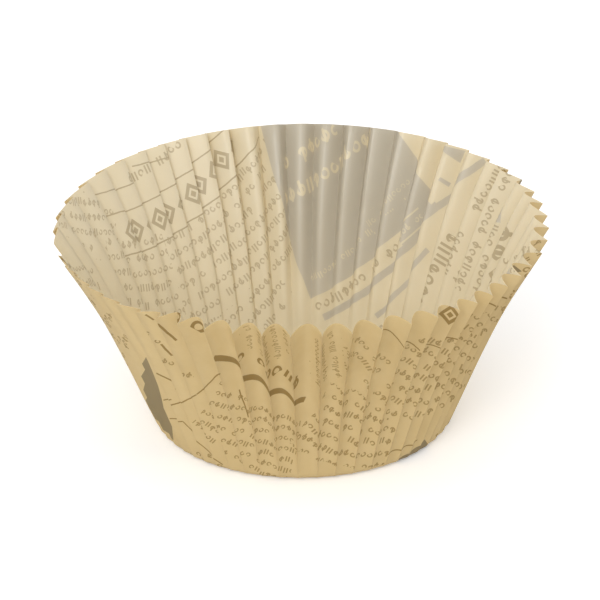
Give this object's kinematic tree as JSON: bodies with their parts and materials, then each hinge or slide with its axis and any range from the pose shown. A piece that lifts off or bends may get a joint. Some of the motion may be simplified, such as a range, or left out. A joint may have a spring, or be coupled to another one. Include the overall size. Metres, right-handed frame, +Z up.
{
  "type": "cupcake liner",
  "caption": "Pleated paper baking cup: a flat round base with a fluted wall that flares up to an open, scalloped mouth.",
  "frame": {"origin": "middle of the base's underside", "axes": "+Z up along the cup's axis, from the base towards the open mouth; +X and +Y are level, and the cup looks alike in both"},
  "size_m": [0.0832, 0.083, 0.0359],
  "materials": {
    "greaseproof_paper": "matte greaseproof paper, kraft tan with a newsprint-style print outside, paler inside"
  },
  "bodies": {
    "root": {"liner": "greaseproof_paper"}
  },
  "joints": []
}
